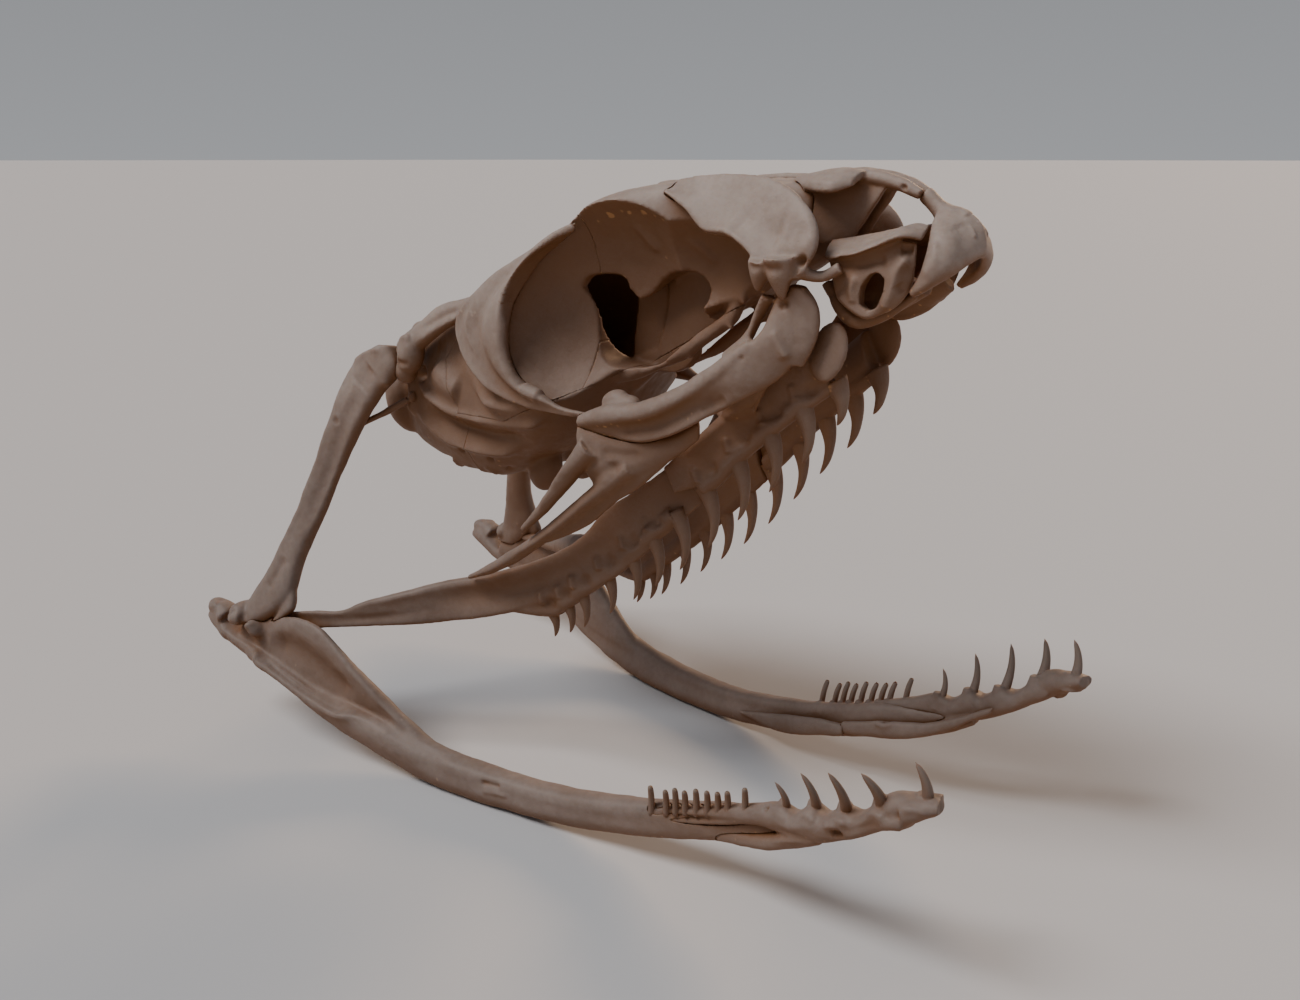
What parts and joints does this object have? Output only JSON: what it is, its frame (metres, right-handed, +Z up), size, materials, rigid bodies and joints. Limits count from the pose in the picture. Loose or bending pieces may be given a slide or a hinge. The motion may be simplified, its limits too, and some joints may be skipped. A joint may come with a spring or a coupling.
{
  "type": "snake skull",
  "caption": "Life-size snake skull with gaping jaws, each bone a solid of its own and teeth on the lower jaws and palate.",
  "frame": {"origin": "on the middle plane, halfway along the skull, on the surface that both halves of the lower jaw rest on", "axes": "+X forward to the snout, +Y to the animal's left, +Z up"},
  "size_m": [0.1043, 0.053, 0.0721],
  "materials": {
    "bone": "dry matte bone",
    "toothed_bone": "dry matte bone with smooth teeth"
  },
  "bodies": {
    "root": {"occipital": "bone", "basisphenoid": "bone", "parietal": "bone", "frontal_L": "bone", "frontal_R": "bone", "nasal_L": "bone", "nasal_R": "bone", "prefrontal_L": "bone", "prefrontal_R": "bone", "postorbital_L": "bone", "postorbital_R": "bone", "supratemporal_L": "bone", "supratemporal_R": "bone", "quadrate_L": "bone", "quadrate_R": "bone", "stapes_L": "bone", "stapes_R": "bone", "premaxilla": "bone", "septomaxilla_L": "bone", "septomaxilla_R": "bone", "vomer_L": "bone", "vomer_R": "bone", "maxilla_L": "bone", "maxilla_R": "bone", "ectopterygoid_L": "bone", "ectopterygoid_R": "bone", "palatine_L": "toothed_bone", "palatine_R": "toothed_bone", "pterygoid_L": "toothed_bone", "pterygoid_R": "toothed_bone", "compound_L": "bone", "compound_R": "bone", "dentary_L": "toothed_bone", "dentary_R": "toothed_bone", "splenial_L": "bone", "splenial_R": "bone", "angular_L": "bone", "angular_R": "bone"}
  },
  "joints": []
}
